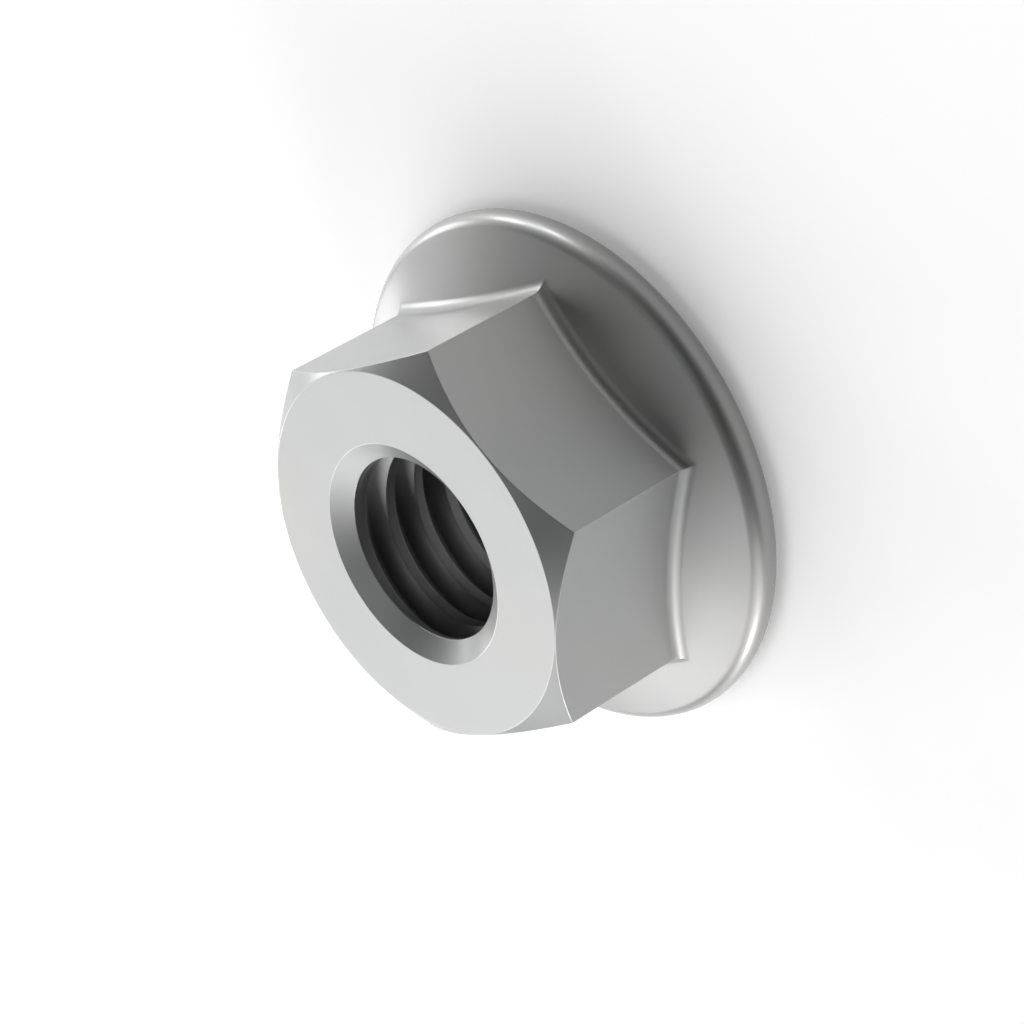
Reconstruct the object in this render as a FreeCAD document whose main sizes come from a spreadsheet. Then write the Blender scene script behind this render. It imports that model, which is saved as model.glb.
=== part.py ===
import FreeCAD, Part
import math
import os
import Sketcher

# Driving sizes in millimetres, angles in degrees.
SIZES = [
    ("across_flats", 10.0),
    ("nut_height", 6.0),
    ("crown_angle", 38.7),
    ("flange_diameter", 14.16),
    ("rim_thickness", 1.04),
    ("cone_angle", 25.0),
    ("neck_radius", 0.42),
    ("thread_diameter", 6.0),
    ("thread_pitch", 1.0),
    ("thread_flank_angle", 30.0),
    ("thread_start", -0.628),
    ("countersink_margin", 0.03),
    ("countersink_depth", 0.37),
    ("recess_diameter", 8.2),
    ("recess_depth", 0.3),
    ("tooth_count", 30),
    ("tooth_depth", 0.25),
    ("tooth_land_share", 0.35),
    ("tooth_back_angle", 15.0),
    ("tooth_runout", 0.4),
    ("cutter_clearance", 0.1),
]

# Lengths that follow from the driving sizes, as expressions on the sheet.
FLAT_RADIUS = "(dims.across_flats / 2)"
CORNER_RADIUS = "(dims.across_flats / 2 / cos(30))"
RIM_RADIUS = "(dims.rim_thickness / 2)"
RIM_CENTRE = "((dims.flange_diameter - dims.rim_thickness) / 2)"
CONE_TIP = f"({RIM_RADIUS} * (1 + 1 / cos(dims.cone_angle)) + {RIM_CENTRE} * tan(dims.cone_angle))"
CONE_FOOT = f"({RIM_CENTRE} + {RIM_RADIUS} * sin(dims.cone_angle))"
CORNER_LEDGE = f"({CONE_FOOT} - {CORNER_RADIUS})"
CROWN_OUTER = f"({CORNER_RADIUS} + dims.cutter_clearance)"
CROWN_EDGE = f"(dims.nut_height - ({CROWN_OUTER} - {FLAT_RADIUS}) * tan(dims.crown_angle))"
THREAD_RADIUS = "(dims.thread_diameter / 2)"
BORE_RADIUS = "((dims.thread_diameter - dims.thread_pitch) / 2)"
THREAD_LENGTH = "(ceil((dims.nut_height - dims.thread_start) / dims.thread_pitch + 0.5) * dims.thread_pitch)"
COUNTERSINK_RADIUS = f"({THREAD_RADIUS} + dims.countersink_margin)"
RECESS_RADIUS = "(dims.recess_diameter / 2)"
TOOTH_BACK = "tan(dims.tooth_back_angle)"
TOOTH_GAP_ANGLE = "(2 * pi / dims.tooth_count * (1 - dims.tooth_land_share))"
TOOTH_RUNOUT_START = f"({RIM_CENTRE} - dims.tooth_runout)"

# Points of a sketch's geometry, as the sketcher counts them, and the sketch's own origin.
START, END, MIDDLE = range(1, 4)
ORIGIN = (-1, START)

doc = FreeCAD.newDocument("serrated_flange_nut")
sheet = doc.addObject("Spreadsheet::Sheet", "dims")
for row, (alias, value) in enumerate(SIZES, start=1):
    sheet.set(f"A{row}", alias)
    sheet.set(f"B{row}", str(value))
    sheet.setAlias(f"B{row}", alias)
doc.recompute()

body = doc.addObject("PartDesign::Body", "nut")
body.Label = "nut"


def number(expression):
    """Present value of an expression on the sheet."""
    return float(sheet.evalExpression(expression))


def origin_feature(role):
    """Plane or axis of the body's own origin, found by its role."""
    return next(feature for feature in body.Origin.OriginFeatures if feature.Role == role)


def new_sketch(name, role):
    """Sketch of the body on one of its origin planes."""
    sketch = body.newObject("Sketcher::SketchObject", name)
    sketch.AttachmentSupport = [(origin_feature(role), "")]
    sketch.MapMode = "FlatFace"
    return sketch


def fix(sketch, name, expression, kind, *where):
    """Adds a named dimension to a sketch and binds it to an expression."""
    index = sketch.addConstraint(Sketcher.Constraint(kind, *where, number(expression)))
    sketch.renameConstraint(index, name)
    sketch.setExpression(f"Constraints.{name}", expression)


def outline(sketch, name, corners):
    """Closed outline of straight lines through corners given as pairs of expressions."""
    points = [FreeCAD.Vector(number(across), number(up), 0) for across, up in corners]
    first = sketch.GeometryCount
    lines = list(range(first, first + len(points)))
    for index, start in enumerate(points):
        sketch.addGeometry(Part.LineSegment(start, points[(index + 1) % len(points)]))
    for line, following in zip(lines, lines[1:] + lines[:1]):
        sketch.addConstraint(Sketcher.Constraint("Coincident", line, END, following, START))
    for index, (across, up) in enumerate(corners):
        corner = (*ORIGIN, lines[index], START)
        fix(sketch, f"{name}_{index}_across", across, "DistanceX", *corner)
        fix(sketch, f"{name}_{index}_up", up, "DistanceY", *corner)


def feature_of(kind, name, profile):
    """Feature of the body made from one profile sketch."""
    feature = body.newObject(kind, name)
    feature.Profile = profile
    return feature


def turned(kind, name, profile):
    """Full turn of a profile about the axis of the nut."""
    feature = feature_of(kind, name, profile)
    feature.ReferenceAxis = (origin_feature("Z_Axis"), [""])
    feature.Angle = 360
    return feature


def checked_cut(feature):
    """Recomputes a cut and stops if it has taken no metal away."""
    doc.recompute()
    if feature.Shape.Volume > feature.BaseFeature.Shape.Volume - 1e-6:
        raise RuntimeError(f"{feature.Name} takes nothing away")


def make_flange():
    """Disc with a flat underside, a full round rim and a shallow cone on top."""
    sketch = new_sketch("flange_profile", "XZ_Plane")
    middle = FreeCAD.Vector(0, 0, 0)
    foot = FreeCAD.Vector(number(RIM_CENTRE), 0, 0)
    tip = FreeCAD.Vector(0, number(CONE_TIP), 0)
    centre = FreeCAD.Vector(number(RIM_CENTRE), number(RIM_RADIUS), 0)
    circle = Part.Circle(centre, FreeCAD.Vector(0, 0, 1), number(RIM_RADIUS))
    slope_normal = math.radians(90 - number("dims.cone_angle"))
    arc = Part.ArcOfCircle(circle, -math.pi / 2, slope_normal)
    underside = sketch.addGeometry(Part.LineSegment(middle, foot))
    rim = sketch.addGeometry(arc)
    slope = sketch.addGeometry(Part.LineSegment(arc.EndPoint, tip))
    axis = sketch.addGeometry(Part.LineSegment(tip, middle))
    sketch.addConstraint([
        Sketcher.Constraint("Coincident", underside, START, *ORIGIN),
        Sketcher.Constraint("Tangent", underside, END, rim, START),
        Sketcher.Constraint("Tangent", rim, END, slope, START),
        Sketcher.Constraint("Coincident", slope, END, axis, START),
        Sketcher.Constraint("Coincident", axis, END, underside, START),
        Sketcher.Constraint("Horizontal", underside),
        Sketcher.Constraint("Vertical", axis),
    ])
    fix(sketch, "rim_radius", RIM_RADIUS, "Radius", rim)
    fix(sketch, "rim_centre", RIM_CENTRE, "DistanceX", *ORIGIN, rim, MIDDLE)
    fix(sketch, "cone_tip", CONE_TIP, "DistanceY", *ORIGIN, slope, END)
    turned("PartDesign::Revolution", "flange", sketch)
    doc.recompute()


def make_hexagon():
    """Wrench head with two of its six corners on the Y axis."""
    sketch = new_sketch("hexagon_profile", "XY_Plane")
    angles = range(30, 360, 60)
    corners = [(f"{CORNER_RADIUS} * cos({a})", f"{CORNER_RADIUS} * sin({a})") for a in angles]
    outline(sketch, "corner", corners)
    pad = feature_of("PartDesign::Pad", "hexagon", sketch)
    pad.setExpression("Length", "dims.nut_height")
    doc.recompute()
    return pad


def neck_edges(shape):
    """Names of the curved edges in which the flats of the hexagon meet the cone."""
    names = []
    for index, edge in enumerate(shape.Edges, start=1):
        faces = shape.ancestorsOfType(edge, Part.Face)
        if {face.Surface.TypeId for face in faces} == {"Part::GeomCone", "Part::GeomPlane"}:
            names.append(f"Edge{index}")
    return names


def make_neck(hexagon):
    """
    Fillet between the flats of the hexagon and the cone of the flange. Its radius is at most the
    ledge that the cone leaves outside the corners.
    """
    fillet = body.newObject("PartDesign::Fillet", "neck_fillet")
    fillet.Base = (hexagon, neck_edges(hexagon.Shape))
    fillet.setExpression("Radius", f"min(dims.neck_radius; {CORNER_LEDGE})")
    doc.recompute()


def make_crown():
    """Chamfer turned on the top of the hexagon, which starts in the middle of each flat."""
    sketch = new_sketch("crown_profile", "YZ_Plane")
    outline(sketch, "crown", [
        (FLAT_RADIUS, "dims.nut_height"),
        (CROWN_OUTER, CROWN_EDGE),
        (CROWN_OUTER, "dims.nut_height"),
    ])
    checked_cut(turned("PartDesign::Groove", "crown", sketch))


def make_bore():
    """Round hole through the nut, at the minor diameter of its thread."""
    sketch = new_sketch("bore_profile", "XY_Plane")
    circle = Part.Circle(FreeCAD.Vector(0, 0, 0), FreeCAD.Vector(0, 0, 1), number(BORE_RADIUS))
    bore = sketch.addGeometry(circle)
    sketch.addConstraint(Sketcher.Constraint("Coincident", bore, MIDDLE, *ORIGIN))
    fix(sketch, "bore_radius", BORE_RADIUS, "Radius", bore)
    pocket = feature_of("PartDesign::Pocket", "bore", sketch)
    pocket.Type = "ThroughAll"
    pocket.Reversed = True
    checked_cut(pocket)


def make_recess():
    """Flat ring round the bore that lies deeper than the teeth, with a sloped outer wall."""
    sketch = new_sketch("recess_profile", "YZ_Plane")
    outline(sketch, "recess", [
        ("0", "0"),
        (f"{RECESS_RADIUS} + dims.recess_depth", "0"),
        (RECESS_RADIUS, "dims.recess_depth"),
        ("0", "dims.recess_depth"),
    ])
    checked_cut(turned("PartDesign::Groove", "recess", sketch))


def make_countersink(name, face_height, bore_height):
    """Cone that opens from the bore to slightly more than the thread's diameter at a face."""
    sketch = new_sketch(f"{name}_profile", "YZ_Plane")
    outline(sketch, "cone", [
        ("0", face_height),
        (COUNTERSINK_RADIUS, face_height),
        (BORE_RADIUS, bore_height),
        ("0", bore_height),
    ])
    checked_cut(turned("PartDesign::Groove", name, sketch))


def make_thread():
    """
    Right-hand thread: one groove swept up a helix through the bore. Its root is a flat an eighth
    of the pitch wide at the thread's diameter, and leaves a flat crest at the bore.
    """
    sketch = new_sketch("thread_profile", "XZ_Plane")
    inside = f"({BORE_RADIUS} - dims.cutter_clearance)"
    root = "(dims.thread_pitch / 16)"
    mouth = f"({root} + ({THREAD_RADIUS} - {inside}) * tan(dims.thread_flank_angle))"
    outline(sketch, "groove", [
        (inside, f"dims.thread_start - {mouth}"),
        (THREAD_RADIUS, f"dims.thread_start - {root}"),
        (THREAD_RADIUS, f"dims.thread_start + {root}"),
        (inside, f"dims.thread_start + {mouth}"),
    ])
    thread = feature_of("PartDesign::SubtractiveHelix", "thread", sketch)
    thread.ReferenceAxis = (origin_feature("Z_Axis"), [""])
    thread.Mode = 0
    thread.setExpression("Pitch", "dims.thread_pitch")
    thread.setExpression("Height", THREAD_LENGTH)
    checked_cut(thread)


def make_tooth_section(name, station, gap_radius, apex):
    """
    Section of the gap between two teeth, square to the X axis. A steep back rises from the
    bearing face to the apex and a long ramp falls from there to the next tooth.
    """
    sketch = new_sketch(name, "YZ_Plane")
    sketch.setExpression(".AttachmentOffset.Base.z", station)
    ramp = f"(({gap_radius} * {TOOTH_GAP_ANGLE} - dims.tooth_depth * {TOOTH_BACK}) / dims.tooth_depth)"
    rise = f"({apex} + dims.cutter_clearance)"
    outline(sketch, "gap", [
        (f"{apex} * {TOOTH_BACK}", apex),
        (f"-dims.cutter_clearance * {TOOTH_BACK}", "-dims.cutter_clearance"),
        (f"{apex} * {TOOTH_BACK} + {rise} * {ramp}", "-dims.cutter_clearance"),
    ])
    return sketch


def make_teeth():
    """
    Ratchet teeth on the bearing face. One gap is a ruled loft that widens with the radius and
    runs out to nothing where the rim begins, and it repeats round the axis.
    """
    inner = make_tooth_section("gap_inner_end", RECESS_RADIUS, RECESS_RADIUS, "dims.tooth_depth")
    outer = make_tooth_section(
        "gap_outer_end", TOOTH_RUNOUT_START, TOOTH_RUNOUT_START, "dims.tooth_depth")
    runout = make_tooth_section("gap_runout", RIM_CENTRE, TOOTH_RUNOUT_START, "0")
    gap = feature_of("PartDesign::SubtractiveLoft", "tooth_gap", inner)
    gap.Sections = [outer, runout]
    gap.Ruled = True
    checked_cut(gap)
    teeth = body.newObject("PartDesign::PolarPattern", "teeth")
    teeth.Originals = [gap]
    teeth.Axis = (origin_feature("Z_Axis"), [""])
    teeth.Angle = 360
    teeth.setExpression("Occurrences", "dims.tooth_count")
    body.Tip = teeth
    checked_cut(teeth)


make_flange()
make_neck(make_hexagon())
make_crown()
make_bore()
make_recess()
make_countersink("top_countersink", "dims.nut_height", "dims.nut_height - dims.countersink_depth")
make_countersink("bottom_countersink", "dims.recess_depth", "dims.recess_depth + dims.countersink_depth")
make_thread()
make_teeth()

for feature in doc.Objects:
    if "Invalid" in feature.State or "Error" in feature.State:
        raise RuntimeError(f"{feature.Name} has failed: {feature.State}")
if body.Shape.isNull() or not body.Shape.isValid() or len(body.Shape.Solids) != 1:
    raise RuntimeError("the nut is not one valid solid")

os.makedirs("parts", exist_ok=True)
body.Shape.exportStep(f"parts/{body.Label}.step")
print(f"{body.Label}: {body.Shape.Volume:.2f} cubic mm, {len(body.Shape.Faces)} faces")
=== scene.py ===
"""A serrated flange nut of bright zinc plated steel, standing on its bearing face."""
import math

import bpy
import numpy as np
from mathutils import Matrix, Vector


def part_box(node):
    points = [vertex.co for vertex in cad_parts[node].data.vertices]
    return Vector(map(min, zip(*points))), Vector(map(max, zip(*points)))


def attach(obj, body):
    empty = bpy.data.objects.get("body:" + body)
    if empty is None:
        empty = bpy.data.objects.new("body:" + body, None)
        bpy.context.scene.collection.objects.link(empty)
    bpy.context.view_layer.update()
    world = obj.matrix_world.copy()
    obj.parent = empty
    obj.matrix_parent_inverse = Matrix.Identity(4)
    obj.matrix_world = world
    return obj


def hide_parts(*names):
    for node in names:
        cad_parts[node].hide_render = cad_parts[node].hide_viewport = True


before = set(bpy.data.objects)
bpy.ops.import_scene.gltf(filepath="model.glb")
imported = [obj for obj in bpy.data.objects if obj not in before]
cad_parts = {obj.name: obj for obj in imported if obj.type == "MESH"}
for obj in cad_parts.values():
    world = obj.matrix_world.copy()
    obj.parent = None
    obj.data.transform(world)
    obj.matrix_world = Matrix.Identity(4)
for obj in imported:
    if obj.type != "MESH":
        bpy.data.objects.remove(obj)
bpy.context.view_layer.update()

MM = 0.001

# The overall sizes come from the frame. All lengths are in millimetres.
nut_low, nut_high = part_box("nut")
FLANGE_RADIUS = (nut_high.x - nut_low.x) / 2 / MM
HEIGHT = nut_high.z / MM

# The hexagon and its crown chamfer
SIDES = 6
FLAT_RADIUS = 5.0
CORNER_ANGLE = math.radians(30)
CORNER_REACH = FLAT_RADIUS * math.tan(CORNER_ANGLE)
CROWN_RADIUS = 4.97
CROWN_SLOPE = math.tan(math.radians(38.7))

# The flange: a shallow cone that ends in a full round rim, and the fillet at its neck
CONE_ANGLE = math.radians(25)
RIM_ROUND = 0.52
RIM_CENTRE = FLANGE_RADIUS - RIM_ROUND
NECK_ROUND = 0.42

# The thread: pitch, wall at the crests, reach of the grooves, and where one crest passes
PITCH = 1.0
CREST_RADIUS = 2.5
ROOT_RADIUS = 3.0
CREST_FLAT = 0.30
FLANK_ANGLE = math.radians(30)
FLANK_SLOPE = 1 / math.tan(FLANK_ANGLE)
CREST_HEIGHT = 0.483
CREST_AZIMUTH = math.radians(220)

# The countersinks at both ends of the bore
COUNTERSINK_RADIUS = 3.03
COUNTERSINK_DEPTH = 0.37

# The underside: a recessed ring round the bore, and ratchet teeth outside it
RECESS_RADIUS = 4.1
RECESS_DEPTH = 0.3
TOOTH_COUNT = 30
TOOTH_DEPTH = 0.25
TOOTH_GAP_SHARE = 0.65
TOOTH_BACK_SLOPE = math.tan(math.radians(15))
TOOTH_RUNOUT = 0.4
TOOTH_RUNOUT_START = RIM_CENTRE - TOOTH_RUNOUT

# The metal's edges are broken by these radii
EDGE_BREAK = 0.02
CORNER_BREAK = 0.035
TOOTH_BREAK = 0.02
THREAD_BREAK = 0.02

# Points of the mesh across a broken edge, a small round, a tooth's heel, a span and a flat ring
EDGE_ROWS = 4
ROUND_ROWS = 3
HEEL_ROWS = 2
SPAN_ROWS = 3
RING_ROWS = 2

# Columns of the mesh round the axis: both the hexagon and the teeth divide them evenly
TOOTH_COLUMNS = 2 * ROUND_ROWS + HEEL_ROWS + 2 * SPAN_ROWS
COLUMNS = TOOTH_COUNT * TOOTH_COLUMNS
SECTOR_COLUMNS = COLUMNS // SIDES
CORNER_COLUMNS = 4
TOOTH_FIRST_COLUMN = SECTOR_COLUMNS // 2 - 1
RIM_ROWS = 22
NECK_ROWS = 9

# What is left of a tooth gap at its last row, and the length over which the grooves run out
RUNOUT_LEFT = 0.04
THREAD_RUNOUT = 0.25

# The bare ring of the bore next to each countersink, the zone beside it where waiting rows
# bunch up, and the turns of thread that are laid out beyond both ends
MOUTH_DROP = 0.03
MOUTH_ZONE = 0.03
SPARE_TURNS = 2

# A round takes up at most this share of a side, and nothing is divided by less than the tiny one
ROUND_SHARE = 0.45
TINY = 1e-12

# The search for the plane through a corner: where it starts, in corner reaches, and its steps
SEARCH_SPAN = (0.5, 1.5)
HALVINGS = 50


def polar(radius, azimuth, height):
    """Points at a radius, azimuth and height, which may be numbers or arrays of one shape."""
    radius, azimuth, height = np.broadcast_arrays(radius, azimuth, height)
    return np.stack([radius * np.cos(azimuth), radius * np.sin(azimuth), height], axis=-1)


def even_azimuths():
    """One azimuth for each column, evenly spaced from the hexagon's corner at -30 degrees."""
    return -CORNER_ANGLE + (np.arange(COLUMNS) + 0.5) * 2 * math.pi / COLUMNS


def eased(corner, before, after, reach, rows):
    """
    Rows of points that round a corner off. They follow the parabola that leaves the corner's
    two sides at the given reach: (1-s)^2 * start + 2s(1-s) * corner + s^2 * end.
    """
    def towards(target):
        side = target - corner
        distance = np.linalg.norm(side, axis=-1, keepdims=True)
        return corner + side * np.minimum(reach / np.maximum(distance, TINY), ROUND_SHARE)

    start, end = towards(before), towards(after)
    s = np.linspace(0, 1, rows)[:, None, None]
    return (1 - s) ** 2 * start + 2 * s * (1 - s) * corner + s ** 2 * end


def between(first, last, rows):
    """Rows evenly spaced strictly between two rows of points."""
    s = np.linspace(0, 1, rows + 2)[1:-1, None, None]
    return first + s * (last - first)


def cone_height(radius):
    """Height of the flange's cone, a straight line tangent to the round of the rim."""
    return RIM_ROUND * (1 + 1 / math.cos(CONE_ANGLE)) - (radius - RIM_CENTRE) * math.tan(CONE_ANGLE)


def rotation(angle):
    """Matrix of a turn about the axis of the nut."""
    return np.array(Matrix.Rotation(angle, 3, "Z"))


def around_hexagon(side, reach):
    """
    Lays one side of the hexagon out round all six. side(y) gives points beside the flat that
    faces +X, for y from -reach to reach along it. The columns near a corner follow the
    parabola whose control point is the sharp corner, so the corner is broken.
    """
    flat_columns = SECTOR_COLUMNS - CORNER_COLUMNS
    spread = np.tan(np.linspace(-CORNER_ANGLE, CORNER_ANGLE, flat_columns)) / math.tan(CORNER_ANGLE)
    reach = np.atleast_1d(np.asarray(reach, float))[:, None]
    flat = side(spread * (reach - CORNER_BREAK * math.tan(CORNER_ANGLE)))
    corner = side(reach)
    turn = rotation(2 * CORNER_ANGLE)
    following = flat[:, :1] @ turn.T
    s = (np.arange(CORNER_COLUMNS) + 1)[None, :, None] / (CORNER_COLUMNS + 1)
    corner = (1 - s) ** 2 * flat[:, -1:] + 2 * s * (1 - s) * corner + s ** 2 * following
    half = CORNER_COLUMNS // 2
    first_half = corner[:, half:] @ turn
    sector = np.concatenate([first_half, flat, corner[:, :half]], axis=1)
    return np.concatenate([sector @ rotation(2 * CORNER_ANGLE * k).T for k in range(SIDES)], axis=1)


def neck_rows(rows):
    """
    The fillet of the neck. A ball that touches the flat and the cone runs along the flat. Its
    centre lies one ball radius outside the flat and above the cone, and the surface is the arc
    between the two points where it touches. Neighbouring arcs meet over the hexagon's corner.
    """
    share = np.linspace(1, 0, rows)[:, None]

    def side(y):
        centre_x = FLAT_RADIUS + NECK_ROUND
        distance = np.hypot(centre_x, y)
        centre_z = cone_height(distance) + NECK_ROUND / math.cos(CONE_ANGLE)
        cosine, sine = centre_x / distance, y / distance
        sweep = np.arccos(math.sin(CONE_ANGLE) * cosine)
        to_flat = np.sin((1 - share) * sweep) / np.sin(sweep)
        to_cone = np.sin(share * sweep) / np.sin(sweep)
        x = centre_x - NECK_ROUND * (to_flat + to_cone * math.sin(CONE_ANGLE) * cosine)
        across = y - NECK_ROUND * to_cone * math.sin(CONE_ANGLE) * sine
        z = centre_z - NECK_ROUND * to_cone * math.cos(CONE_ANGLE)
        return np.stack([x, across, z], axis=-1)

    # the arcs end on the upright plane through the corner, found by halving the interval
    low, high = (np.full((rows, 1), part * CORNER_REACH) for part in SEARCH_SPAN)
    for _ in range(HALVINGS):
        middle = (low + high) / 2
        points = side(middle)
        beyond = points[..., 1] > points[..., 0] * math.tan(CORNER_ANGLE)
        low, high = np.where(beyond, low, middle), np.where(beyond, middle, high)
    return around_hexagon(side, low[:, 0])


def underside_profile(fade):
    """
    One tooth pitch of the underside as azimuths and heights, at full depth where fade is 1. The
    gap rises steeply to its root and falls in a long ramp to the flat land of the next tooth.
    """
    pitch_length = TOOTH_RUNOUT_START * 2 * math.pi / TOOTH_COUNT
    edge = np.array([[0.0, 0.0]])
    root = fade * np.array([[TOOTH_DEPTH * TOOTH_BACK_SLOPE, TOOTH_DEPTH]])
    heel = fade * np.array([[pitch_length * TOOTH_GAP_SHARE, 0.0]])
    last, following = np.array([[-pitch_length, 0.0]]), np.array([[pitch_length, 0.0]])
    edge_points = eased(edge, last, root, TOOTH_BREAK, ROUND_ROWS)[:, 0]
    root_points = eased(root, edge, heel, TOOTH_BREAK, ROUND_ROWS)[:, 0]
    heel_points = eased(heel, root, following, TOOTH_BREAK, HEEL_ROWS)[:, 0]
    ramp = between(root_points[-1:], heel_points[:1], SPAN_ROWS)[:, 0]
    land = between(heel_points[-1:], following + edge_points[:1], SPAN_ROWS)[:, 0]
    points = np.concatenate([edge_points, root_points, ramp, heel_points, land])
    return points[:, 0] / TOOTH_RUNOUT_START, points[:, 1]


def underside_row(radius, fade):
    """One row of the toothed ring. The radius may differ from column to column of a tooth."""
    azimuth, height = underside_profile(fade)
    turns = np.arange(TOOTH_COUNT)[:, None] * 2 * math.pi / TOOTH_COUNT
    row = polar(radius, turns + azimuth, height).reshape(COLUMNS, 3)
    return np.roll(row, TOOTH_FIRST_COLUMN, axis=0)


def underside_rows():
    """
    Rows from the countersink of the bearing side out to the rim. Round the bore lies a ring as
    deep as the recess. Its wall leans out at 45 degrees and meets each column of the teeth
    where the two have one height. Near the rim the gaps run out to nothing.
    """
    around = even_azimuths()
    height = underside_profile(1)[1]
    wall_foot = RECESS_RADIUS + RECESS_DEPTH
    mouth = polar(COUNTERSINK_RADIUS, around, RECESS_DEPTH)
    throat = polar(CREST_RADIUS, around, RECESS_DEPTH + COUNTERSINK_DEPTH)
    bore = polar(CREST_RADIUS, around, RECESS_DEPTH + COUNTERSINK_DEPTH + PITCH)
    wall_top = underside_row(RECESS_RADIUS, 1)
    wall_top[:, 2] = RECESS_DEPTH
    tooth_start = underside_row(wall_foot - height, 1)
    tooth_end = underside_row(TOOTH_RUNOUT_START, 1)
    tooth_tip = underside_row(RIM_CENTRE - RUNOUT_LEFT * TOOTH_RUNOUT, RUNOUT_LEFT)
    return np.concatenate([
        eased(throat, bore, mouth, EDGE_BREAK, EDGE_ROWS),
        eased(mouth, throat, wall_top, EDGE_BREAK, EDGE_ROWS),
        eased(wall_top, mouth, tooth_start, EDGE_BREAK, ROUND_ROWS),
        eased(tooth_start, wall_top, tooth_end, TOOTH_BREAK, ROUND_ROWS),
        between(tooth_start, tooth_end, RING_ROWS),
        eased(tooth_end, tooth_start, tooth_tip, TOOTH_BREAK, ROUND_ROWS),
        tooth_tip[None],
    ])


def flange_rows():
    """Rows of the full round rim, an arc about its centre, and of the cone up to the neck."""
    around = even_azimuths()
    lean = np.linspace(-math.pi / 2, math.pi / 2 - CONE_ANGLE, RIM_ROWS)[:, None]
    rim = polar(RIM_CENTRE + RIM_ROUND * np.cos(lean), around, RIM_ROUND * (1 + np.sin(lean)))
    neck = neck_rows(NECK_ROWS)
    cone = between(rim[-1], neck[0], SPAN_ROWS)
    cone[..., 2] = cone_height(np.hypot(cone[..., 0], cone[..., 1]))
    return np.concatenate([rim, cone, neck])


def head_rows():
    """
    Rows of the flats, the crown and the top face. The crown is a cone that starts on the face
    and cuts each flat in a hyperbola: its height falls with the distance from the axis.
    """
    around = even_azimuths()

    def brow(y):
        distance = np.hypot(FLAT_RADIUS, y)
        drop = (distance - CROWN_RADIUS) * CROWN_SLOPE
        return np.stack([np.full_like(y, FLAT_RADIUS), y, HEIGHT - drop], axis=-1)

    flat_foot = neck_rows(NECK_ROWS)[-1]
    edge = around_hexagon(brow, CORNER_REACH)[0]
    face_edge = polar(CROWN_RADIUS, np.arctan2(edge[:, 1], edge[:, 0]), HEIGHT)
    mouth = polar(COUNTERSINK_RADIUS, around, HEIGHT)
    throat = polar(CREST_RADIUS, around, HEIGHT - COUNTERSINK_DEPTH)
    bore = polar(CREST_RADIUS, around, HEIGHT - COUNTERSINK_DEPTH - PITCH)
    return np.concatenate([
        between(flat_foot, edge, SPAN_ROWS),
        eased(edge, flat_foot, face_edge, EDGE_BREAK, EDGE_ROWS),
        eased(face_edge, edge, mouth, EDGE_BREAK, EDGE_ROWS),
        between(face_edge, mouth, RING_ROWS),
        eased(mouth, face_edge, throat, EDGE_BREAK, EDGE_ROWS),
        eased(throat, mouth, bore, EDGE_BREAK, EDGE_ROWS),
    ])


def thread_profile():
    """
    Wall radius over one pitch, as heights above a crest's middle and radii: a flat crest, a
    leaning flank, and a root arc that is tangent to both flanks, then the same mirrored.
    """
    crest_edge = np.array([[CREST_FLAT / 2, CREST_RADIUS]])
    sharp_root = np.array([[PITCH / 2, CREST_RADIUS + (PITCH / 2 - CREST_FLAT / 2) * FLANK_SLOPE]])
    crest = np.array([[0.0, CREST_RADIUS], [CREST_FLAT / 4, CREST_RADIUS]])
    brink = eased(crest_edge, crest[:1], sharp_root, THREAD_BREAK, ROUND_ROWS)[:, 0]
    root_round = sharp_root[0, 1] - ROOT_RADIUS
    lean = np.linspace(FLANK_ANGLE - math.pi / 2, 0, ROUND_ROWS)[:, None]
    root = np.concatenate([
        PITCH / 2 + root_round * np.sin(lean),
        ROOT_RADIUS - root_round + root_round * np.cos(lean),
    ], axis=1)
    flank = between(brink[-1:], root[:1], SPAN_ROWS)[:, 0]
    half = np.concatenate([crest, brink, flank, root])
    mirrored = half[-2:0:-1] * [-1, 1] + [PITCH, 0]
    return np.concatenate([half, mirrored])


def thread_rows():
    """
    Rows of the bore down from its top countersink. Each row follows the right-hand helix, so
    its height grows by one pitch in a turn. The grooves run out to nothing at both countersinks,
    where rows that would leave the bore wait. Returns the rows and how many make one pitch.
    """
    profile = thread_profile()
    steps = len(profile)
    around = even_azimuths()
    lift = CREST_HEIGHT + PITCH * (around - CREST_AZIMUTH) / (2 * math.pi)
    turns = np.arange(-SPARE_TURNS, math.ceil(HEIGHT / PITCH) + SPARE_TURNS + 1)[:, None] * PITCH
    nominal = (turns + profile[:, 0]).ravel()[:, None] + lift
    low = RECESS_DEPTH + COUNTERSINK_DEPTH + MOUTH_DROP
    high = HEIGHT - COUNTERSINK_DEPTH - MOUTH_DROP
    first = np.flatnonzero(nominal.max(axis=1) <= low)[-1]
    last = np.flatnonzero(nominal.min(axis=1) >= high)[0]
    nominal = nominal[first:last + 1]

    def wait(height, limit, end):
        share = (height - (limit - MOUTH_ZONE)) / (end - (limit - MOUTH_ZONE))
        return np.where(share > 0, limit - MOUTH_ZONE + MOUTH_ZONE * share, height)

    height = wait(nominal, high, nominal[-1])
    height = -wait(-height, -low, -nominal[0])
    reach = np.interp(np.mod(height - lift, PITCH), profile[:, 0], profile[:, 1], period=PITCH)
    fade = np.clip((np.minimum(high - height, height - low) - MOUTH_ZONE) / THREAD_RUNOUT, 0, 1)
    radius = CREST_RADIUS + (reach - CREST_RADIUS) * fade
    return polar(radius, around, height)[::-1], steps


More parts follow.
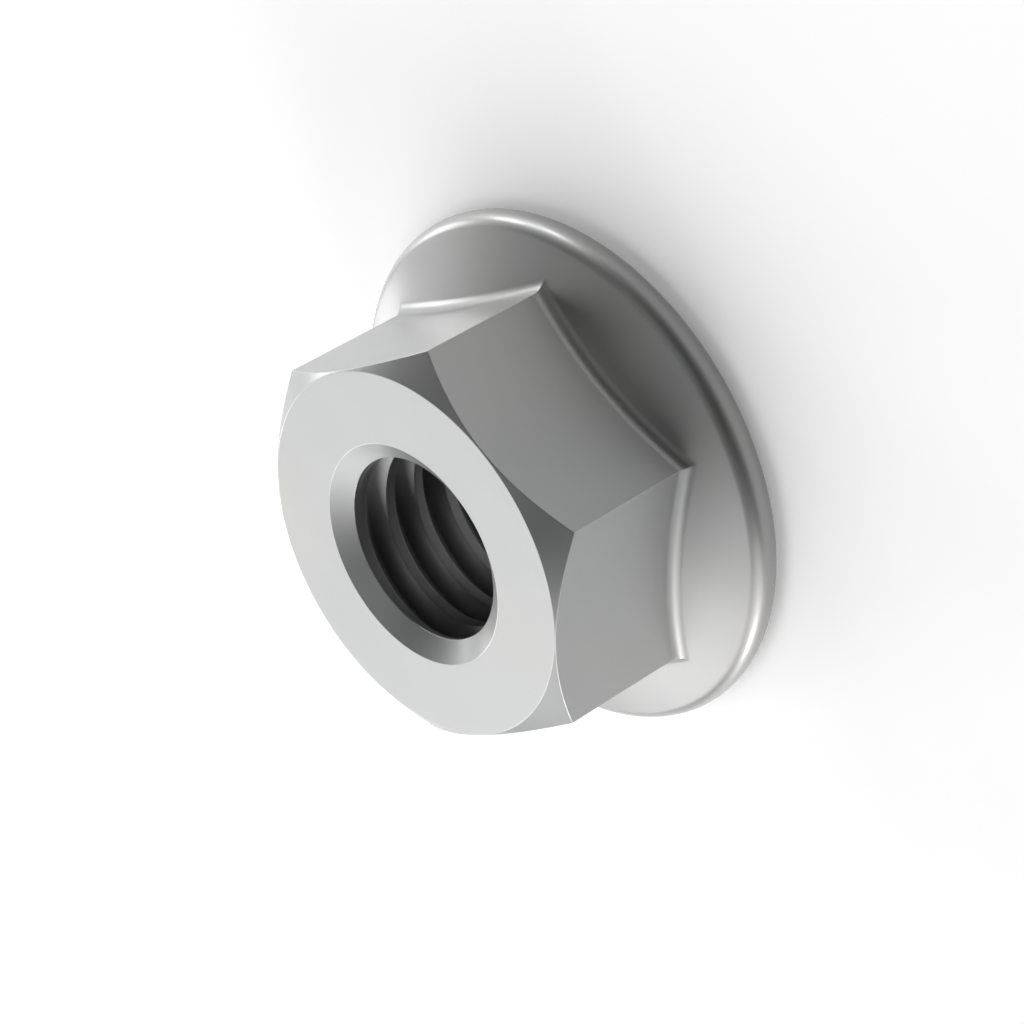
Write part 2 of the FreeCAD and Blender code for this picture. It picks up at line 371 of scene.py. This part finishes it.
def nut_faces(rows, thread_start, steps):
    """
    Quads between neighbouring rows and columns of a grid that closes both ways. Across the
    seam, the thread's rows join those one pitch on, and a fan of triangles closes each end.
    """
    row, column = np.meshgrid(np.arange(rows), np.arange(COLUMNS), indexing="ij")
    at_seam = (column == COLUMNS - 1) & (row >= thread_start) & (row < rows - 1)
    row, column = row[~at_seam], column[~at_seam]

    def index(i, j):
        return (i % rows) * COLUMNS + j % COLUMNS

    end = COLUMNS - 1
    seam = np.arange(thread_start + steps, rows - 1)
    quads = [
        [index(row, column), index(row, column + 1),
         index(row + 1, column + 1), index(row + 1, column)],
        [index(seam, end), index(seam - steps, 0),
         index(seam + 1 - steps, 0), index(seam + 1, end)],
    ]
    top = np.arange(thread_start, thread_start + steps)
    bottom = np.arange(rows - 1 - steps, rows - 1)
    top_tip = np.full_like(top, index(thread_start, 0))
    bottom_tip = np.full_like(bottom, index(rows - 1, end))
    fans = [
        [index(top, end), top_tip, index(top + 1, end)],
        [index(bottom, 0), index(bottom + 1, 0), bottom_tip],
    ]
    return tuple(
        np.concatenate([np.stack(corners, axis=-1) for corners in kind]) for kind in (quads, fans)
    )


def area_normals(points, triangles):
    """Normal of each point: the sum of its triangles' normals, each as long as its area."""
    a, b, c = (points[triangles[:, k]] for k in range(3))
    weighted = np.cross(b - a, c - a)
    total = np.stack([
        np.bincount(triangles.ravel(), np.repeat(weighted[:, axis], 3), len(points))
        for axis in range(3)
    ], axis=-1)
    return total / np.linalg.norm(total, axis=1, keepdims=True)


def curvature_of(points, triangles):
    """
    Mean curvature at each point, in 1/mm, positive on outward edges and negative in hollows.
    Each edge gives its length times the angle between its two triangles, shared by its ends,
    and the sum at a point is divided by four thirds of the area of the triangles round it.
    """
    a, b, c = (points[triangles[:, k]] for k in range(3))
    normal = np.cross(b - a, c - a)
    doubled = np.linalg.norm(normal, axis=1)
    normal /= np.maximum(doubled, TINY)[:, None]
    around = np.bincount(triangles.ravel(), np.repeat(doubled / 2, 3), len(points))
    sides = np.concatenate([triangles[:, [0, 1]], triangles[:, [1, 2]], triangles[:, [2, 0]]])
    owner = np.tile(np.arange(len(triangles)), 3)
    key = np.sort(sides, axis=1) @ np.array([len(points), 1])
    order = np.argsort(key, kind="stable")
    first, second = order[0::2], order[1::2]
    start, end = sides[first].T
    along = points[end] - points[start]
    length = np.linalg.norm(along, axis=1)
    left, right = normal[owner[first]], normal[owner[second]]
    sine = (np.cross(left, right) * along).sum(axis=1) / np.maximum(length, TINY)
    share = length * np.arctan2(sine, (left * right).sum(axis=1))
    total = np.bincount(start, share, len(points)) + np.bincount(end, share, len(points))
    return total * 3 / (4 * np.maximum(around, TINY))


def groove_depth(grid):
    """How deep points of the bore lie in its grooves: 0 at the crests, 1 at the roots."""
    depth = (np.hypot(grid[..., 0], grid[..., 1]) - CREST_RADIUS) / (ROOT_RADIUS - CREST_RADIUS)
    inside = (depth <= 1) & (grid[..., 2] < HEIGHT - COUNTERSINK_DEPTH)
    inside &= grid[..., 2] > RECESS_DEPTH + COUNTERSINK_DEPTH
    return np.where(inside, depth.clip(0, 1), 0)


def store(mesh, name, values):
    """Keeps one number for each point of the mesh, for the finish to read."""
    attribute = mesh.attributes.new(name, "FLOAT", "POINT")
    attribute.data.foreach_set("value", values.astype(np.float32))


def build_nut():
    """The whole nut as one closed mesh: its rows run once round the section of the metal."""
    outside = np.concatenate([underside_rows(), flange_rows(), head_rows()])
    thread, steps = thread_rows()
    grid = np.concatenate([outside, thread])
    quads, fans = nut_faces(len(grid), len(outside), steps)
    points = grid.reshape(-1, 3) * MM
    triangles = np.concatenate([quads[:, [0, 1, 2]], quads[:, [0, 2, 3]], fans])
    mesh = bpy.data.meshes.new("flange_nut")
    mesh.from_pydata(points, [], [*quads.tolist(), *fans.tolist()])
    mesh.polygons.foreach_set("use_smooth", np.ones(len(mesh.polygons), bool))
    mesh.normals_split_custom_set_from_vertices(area_normals(points, triangles))
    store(mesh, "curvature", curvature_of(grid.reshape(-1, 3), triangles))
    store(mesh, "groove_depth", groove_depth(grid).ravel())
    nut = bpy.data.objects.new("flange_nut", mesh)
    bpy.context.scene.collection.objects.link(nut)
    return nut


nut = build_nut()
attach(nut, "root")
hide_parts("nut")


# The finish: bright zinc plating over steel. Lengths in the finish are in millimetres.
ZINC = (0.324, 0.329, 0.330, 1)
ZINC_WARM = (0.337, 0.334, 0.327, 1)
BURNISHED = (0.440, 0.445, 0.440, 1)
# Painted shade: the dark grey that creases and thread grooves are darkened towards
PAINTED_SHADE = (0.150, 0.150, 0.148, 1)
WHITE = (1, 1, 1, 1)
BUMP_UNIT = MM

# Roughness of the plating and its sealer, and what burnishing and the hollows under painted shade
# add to the plating's
SATIN = 0.5
SEALER_ROUGHNESS = 0.25
BURNISHED_ROUGHNESS = -0.10
HOLLOW_ROUGHNESS = 0.15
BURNISHED_SHARE = 0.5

# Octaves of a noise: plain, soft and broken up
PLAIN = 1.0
SOFT = 2.0
BROKEN = 3.0

# Shares of fine grain and broad patches in the change of roughness. Their noise is taken about
# its middle, and its swing is doubled.
GRAIN_SHARE = 0.35
PATCH_SHARE = 0.65
NOISE_MIDDLE = 0.5
NOISE_SWING = 2.0

# Tool rings: how far and how broadly they wander, and how square to the axis a face has to be
RING_WANDER = 0.05
RING_WANDER_SIZE = 2.5
RING_FACING = (0.96, 0.995)

# Burnished edges: size of the gaps in them, and the span of noise from a gap to a full edge
WEAR_GAP_SIZE = 0.45
WEAR_GAP = (0.35, 0.6)

# Painted shade in creases and thread grooves: a crease's inward curvature and its share of shade, a
# groove's depth, and the clouds in the shade
CREASE = (2.5, 12.0)
CREASE_SHADE = (0.0, 0.6)
GROOVE = (0.1, 0.9)
SHADE_CLOUD_SIZE = 0.6
SHADE_CLOUD = (0.3, 0.7)
SHADE_CLOUD_SHARE = (0.6, 1.0)

# Tone: the span of noise over which it drifts from cool to warm
TONE_DRIFT = (0.35, 0.75)


def new_group(name, inputs, outputs):
    """Empty node group. Inputs are given with their defaults, outputs with their kinds."""
    tree = bpy.data.node_groups.new(name, "ShaderNodeTree")
    for label, value in inputs.items():
        kind = "NodeSocketColor" if isinstance(value, tuple) else "NodeSocketFloat"
        tree.interface.new_socket(label, in_out="INPUT", socket_type=kind).default_value = value
    for label, kind in outputs.items():
        tree.interface.new_socket(label, in_out="OUTPUT", socket_type=kind)
    return tree, tree.nodes.new("NodeGroupInput"), tree.nodes.new("NodeGroupOutput")


def add_node(tree, kind, inputs=None, **settings):
    """Adds a node. An input takes a number, a colour, or another node's output."""
    node = tree.nodes.new(kind)
    for label, value in settings.items():
        setattr(node, label, value)
    for label, value in (inputs or {}).items():
        if isinstance(value, bpy.types.NodeSocket):
            tree.links.new(value, node.inputs[label])
        else:
            node.inputs[label].default_value = value
    return node


def use_group(tree, group, inputs=None):
    """Places a node group in a material."""
    return add_node(tree, "ShaderNodeGroup", inputs, node_tree=group)


def maths(tree, operation, first, second=0.0, third=0.0):
    """Output of a math node on up to three numbers or outputs."""
    sockets = {0: first, 1: second, 2: third}
    return add_node(tree, "ShaderNodeMath", sockets, operation=operation).outputs[0]


def scaled(tree, vector, factors):
    """Output of a vector math node that multiplies a vector by three factors."""
    sockets = {0: vector, 1: factors}
    return add_node(tree, "ShaderNodeVectorMath", sockets, operation="MULTIPLY").outputs[0]


def remap(tree, value, source, target=(0.0, 1.0)):
    """Output of a smooth map range node. Source and target are pairs, outputs or numbers."""
    labels = ("Value", "From Min", "From Max", "To Min", "To Max")
    sockets = dict(zip(labels, (value, *source, *target)))
    return add_node(tree, "ShaderNodeMapRange", sockets, interpolation_type="SMOOTHSTEP").outputs[0]


def mix_colour(tree, share, first, second):
    """Output of a colour mix: the first colour at share 0 and the second at share 1."""
    sockets = {0: share, 6: first, 7: second}
    return add_node(tree, "ShaderNodeMix", sockets, data_type="RGBA").outputs[2]


def place_in_mm(tree):
    """Object coordinates in millimetres."""
    return scaled(tree, tree.nodes.new("ShaderNodeTexCoord").outputs["Object"], (1 / MM,) * 3)


def noise(tree, place, size, detail):
    """Noise whose lumps are about the given size across, from 0 to 1."""
    sockets = {"Vector": place, "Scale": maths(tree, "DIVIDE", 1.0, size), "Detail": detail}
    return add_node(tree, "ShaderNodeTexNoise", sockets).outputs[0]


def plated_grain():
    """Group: the fine pebbled grain of plating, as a height and as a change of roughness."""
    tree, given, result = new_group(
        "plated_grain",
        {"Grain Size": 0.07, "Grain Height": 0.001, "Patch Size": 1.6, "Roughness Change": 0.05},
        {"Height": "NodeSocketFloat", "Roughness": "NodeSocketFloat"},
    )
    place = place_in_mm(tree)
    fine = noise(tree, place, given.outputs["Grain Size"], SOFT)
    patches = noise(tree, place, given.outputs["Patch Size"], BROKEN)
    height = maths(tree, "MULTIPLY", fine, given.outputs["Grain Height"])
    broad = maths(tree, "MULTIPLY", patches, PATCH_SHARE)
    both = maths(tree, "MULTIPLY_ADD", fine, GRAIN_SHARE, broad)
    swing = maths(tree, "MULTIPLY", maths(tree, "SUBTRACT", both, NOISE_MIDDLE), NOISE_SWING)
    change = maths(tree, "MULTIPLY", swing, given.outputs["Roughness Change"])
    tree.links.new(height, result.inputs["Height"])
    tree.links.new(change, result.inputs["Roughness"])
    return tree


def tool_rings():
    """
    Group: faint rings that a facing tool leaves round the axis, as a height. They show where
    the surface faces along the axis, and fade out elsewhere.
    """
    tree, given, result = new_group(
        "tool_rings",
        {"Ring Width": 0.06, "Ring Height": 0.0006},
        {"Height": "NodeSocketFloat"},
    )
    place = place_in_mm(tree)
    flat = scaled(tree, place, (1, 1, 0))
    radius = add_node(tree, "ShaderNodeVectorMath", {0: flat}, operation="LENGTH").outputs["Value"]
    wander = maths(tree, "MULTIPLY", noise(tree, place, RING_WANDER_SIZE, PLAIN), RING_WANDER)
    along = maths(tree, "DIVIDE", maths(tree, "ADD", radius, wander), given.outputs["Ring Width"])
    sockets = {"W": along, "Scale": 1.0, "Detail": SOFT}
    rings = add_node(tree, "ShaderNodeTexNoise", sockets, noise_dimensions="1D").outputs[0]
    normal = tree.nodes.new("ShaderNodeTexCoord").outputs["Normal"]
    upright = add_node(tree, "ShaderNodeSeparateXYZ", {0: normal}).outputs["Z"]
    facing = remap(tree, maths(tree, "ABSOLUTE", upright), RING_FACING)
    shown = maths(tree, "MULTIPLY", rings, facing)
    height = maths(tree, "MULTIPLY", shown, given.outputs["Ring Height"])
    tree.links.new(height, result.inputs["Height"])
    return tree


def rubbed_edges():
    """Group: where tumbling has burnished the edges, as an uneven mask from the curvature."""
    tree, given, result = new_group(
        "rubbed_edges",
        {"Curvature": 0.0, "Sharp From": 3.0, "Sharp To": 11.0, "Evenness": 0.6},
        {"Mask": "NodeSocketFloat"},
    )
    place = place_in_mm(tree)
    span = (given.outputs["Sharp From"], given.outputs["Sharp To"])
    sharp = remap(tree, given.outputs["Curvature"], span)
    broken = remap(tree, noise(tree, place, WEAR_GAP_SIZE, BROKEN), WEAR_GAP)
    kept = maths(tree, "MAXIMUM", broken, given.outputs["Evenness"])
    tree.links.new(maths(tree, "MULTIPLY", sharp, kept), result.inputs["Mask"])
    return tree


def painted_hollow_shade():
    """Group: painted shade that darkens creases and thread grooves, as a mask from depth and inward
    curvature.
    """
    tree, given, result = new_group(
        "painted_hollow_shade",
        {"Curvature": 0.0, "Depth": 0.0, "Amount": 0.12},
        {"Mask": "NodeSocketFloat"},
    )
    place = place_in_mm(tree)
    inward = maths(tree, "MULTIPLY", given.outputs["Curvature"], -1.0)
    crease = remap(tree, inward, CREASE, CREASE_SHADE)
    hollow = remap(tree, given.outputs["Depth"], GROOVE)
    cloudy = noise(tree, place, SHADE_CLOUD_SIZE, BROKEN)
    cloudy = remap(tree, cloudy, SHADE_CLOUD, SHADE_CLOUD_SHARE)
    shade_mask = maths(tree, "MULTIPLY", maths(tree, "MAXIMUM", crease, hollow), cloudy)
    tree.links.new(maths(tree, "MULTIPLY", shade_mask, given.outputs["Amount"]), result.inputs["Mask"])
    return tree


def passivated_tone():
    """Group: the plating's tone, which drifts between two colours in broad soft clouds."""
    tree, given, result = new_group(
        "passivated_tone",
        {"Cool": ZINC, "Warm": ZINC_WARM, "Cloud Size": 5.0},
        {"Color": "NodeSocketColor"},
    )
    place = place_in_mm(tree)
    share = remap(tree, noise(tree, place, given.outputs["Cloud Size"], SOFT), TONE_DRIFT)
    tone = mix_colour(tree, share, given.outputs["Cool"], given.outputs["Warm"])
    tree.links.new(tone, result.inputs["Color"])
    return tree


def bright_zinc():
    """
    Satin zinc plating under a clear sealer, with fine grain, tool rings, burnished edges, and
    painted shade with a rougher finish in creases and thread grooves.
    """
    material = bpy.data.materials.new("bright_zinc")
    material.use_nodes = True
    tree = material.node_tree
    shader = tree.nodes["Principled BSDF"]
    shader.inputs["Metallic"].default_value = 1.0
    shader.inputs["Coat Weight"].default_value = 1.0
    shader.inputs["Coat Roughness"].default_value = SEALER_ROUGHNESS
    curvature = add_node(tree, "ShaderNodeAttribute", attribute_name="curvature").outputs["Fac"]
    depth = add_node(tree, "ShaderNodeAttribute", attribute_name="groove_depth").outputs["Fac"]
    grain = use_group(tree, plated_grain())
    rings = use_group(tree, tool_rings())
    edges = use_group(tree, rubbed_edges(), {"Curvature": curvature}).outputs["Mask"]
    hollows = {"Curvature": curvature, "Depth": depth}
    shade_mask = use_group(tree, painted_hollow_shade(), hollows).outputs["Mask"]
    tone = use_group(tree, passivated_tone()).outputs["Color"]
    colour = mix_colour(tree, maths(tree, "MULTIPLY", edges, BURNISHED_SHARE), tone, BURNISHED)
    # Painted shade: creases and thread grooves are darkened towards a dark grey
    colour = mix_colour(tree, shade_mask, colour, PAINTED_SHADE)
    tree.links.new(colour, shader.inputs["Base Color"])
    rough = maths(tree, "ADD", grain.outputs["Roughness"], SATIN)
    rough = maths(tree, "MULTIPLY_ADD", edges, BURNISHED_ROUGHNESS, rough)
    rough = maths(tree, "MULTIPLY_ADD", shade_mask, HOLLOW_ROUGHNESS, rough)
    tree.links.new(rough, shader.inputs["Roughness"])
    height = maths(tree, "ADD", grain.outputs["Height"], rings.outputs["Height"])
    relief = {"Height": height, "Distance": BUMP_UNIT, "Strength": 1.0}
    bump = add_node(tree, "ShaderNodeBump", relief)
    tree.links.new(bump.outputs["Normal"], shader.inputs["Normal"])
    return material


# The camera: the view has three equal axes, and the hexagon's corner on the Y axis points up
CAMERA_PLACE = Vector((58.334, 57.892, 60.810)) * MM
CAMERA_BACK = Vector((1, 1, 1)).normalized()
CAMERA_UP = Vector((-1, 2, -1)).normalized()
CAMERA_LENS = 139.35
CAMERA_SENSOR = 36.0
CAMERA_REACH = (0.001, 10)

# The floor, and how much of its white the camera and mirror-like surfaces see without light
FLOOR_SIZE = 4.0
FLOOR_GAP = 0.005 * MM
FLOOR_COLOUR = (0.95, 0.95, 0.95, 1)
FLOOR_WHITE = 0.2

# The soft lights: azimuth, elevation and width in degrees as seen from the nut, and power
LIGHT_DISTANCE = 0.5
SOFT_LIGHTS = {
    "large_softbox": (240, 45, 80, 2.89),
    "key_softbox": (255, 38, 44, 0.43),
    "right_softbox": (315, 22, 44, 0.80),
    "top_softbox": (85, 66, 44, 0.17),
    "left_panel": (180, 11, 20, 0.54),
    "back_panel": (210, 11, 20, 0.37),
    "left_strip": (150, 6, 11, 0.45),
    "left_front_strip": (130, 6, 11, 0.45),
    "right_strip": (300, 6, 11, 0.63),
}
STUDIO_GREY = (0.01, 0.01, 0.01, 1)


def add_camera():
    """Camera that looks at the nut along equal shares of all three axes."""
    data = bpy.data.cameras.new("camera")
    data.lens = CAMERA_LENS
    data.sensor_width = CAMERA_SENSOR
    data.clip_start, data.clip_end = CAMERA_REACH
    camera = bpy.data.objects.new("camera", data)
    turn = Matrix((CAMERA_UP.cross(CAMERA_BACK), CAMERA_UP, CAMERA_BACK)).transposed()
    camera.matrix_world = Matrix.Translation(CAMERA_PLACE) @ turn.to_4x4()
    bpy.context.scene.collection.objects.link(camera)
    bpy.context.scene.camera = camera


def pale_floor():
    """Matt white. The camera, glossy rays and rays through glass see it a little whiter."""
    material = bpy.data.materials.new("pale_floor")
    material.use_nodes = True
    tree = material.node_tree
    shader = tree.nodes["Principled BSDF"]
    shader.inputs["Base Color"].default_value = FLOOR_COLOUR
    shader.inputs["Roughness"].default_value = 1.0
    shader.inputs["Specular IOR Level"].default_value = 0.0
    shader.inputs["Emission Color"].default_value = WHITE
    ray = tree.nodes.new("ShaderNodeLightPath").outputs
    seen = maths(tree, "MAXIMUM", ray["Is Camera Ray"], ray["Is Glossy Ray"])
    seen = maths(tree, "MAXIMUM", seen, ray["Is Transmission Ray"])
    tree.links.new(maths(tree, "MULTIPLY", seen, FLOOR_WHITE), shader.inputs["Emission Strength"])
    return material


def add_floor():
    """Plain square floor, a hair's breadth under the bearing face."""
    half, low = FLOOR_SIZE / 2, -FLOOR_GAP
    mesh = bpy.data.meshes.new("floor")
    corners = [(-half, -half, low), (half, -half, low), (half, half, low), (-half, half, low)]
    mesh.from_pydata(corners, [], [(0, 1, 2, 3)])
    mesh.materials.append(pale_floor())
    floor = bpy.data.objects.new("floor", mesh)
    bpy.context.scene.collection.objects.link(floor)


def add_soft_light(name, azimuth, elevation, width, power):
    """Round soft light in the given direction from the nut, turned to face it."""
    turn, rise = math.radians(azimuth), math.radians(elevation)
    level = math.cos(rise)
    away = Vector((math.cos(turn) * level, math.sin(turn) * level, math.sin(rise)))
    data = bpy.data.lights.new(name, "AREA")
    data.shape = "DISK"
    data.size = 2 * LIGHT_DISTANCE * math.tan(math.radians(width / 2))
    data.energy = power
    light = bpy.data.objects.new(name, data)
    facing = away.to_track_quat("Z", "Y").to_matrix().to_4x4()
    light.matrix_world = Matrix.Translation(away * LIGHT_DISTANCE) @ facing
    bpy.context.scene.collection.objects.link(light)


def add_studio():
    """Dim grey surroundings, which fill the shadows."""
    world = bpy.data.worlds.new("studio")
    world.use_nodes = True
    world.node_tree.nodes["Background"].inputs["Color"].default_value = STUDIO_GREY
    bpy.context.scene.world = world


nut.data.materials.append(bright_zinc())
add_floor()
add_camera()
for name, values in SOFT_LIGHTS.items():
    add_soft_light(name, *values)
add_studio()
bpy.context.scene.view_settings.view_transform = "Standard"
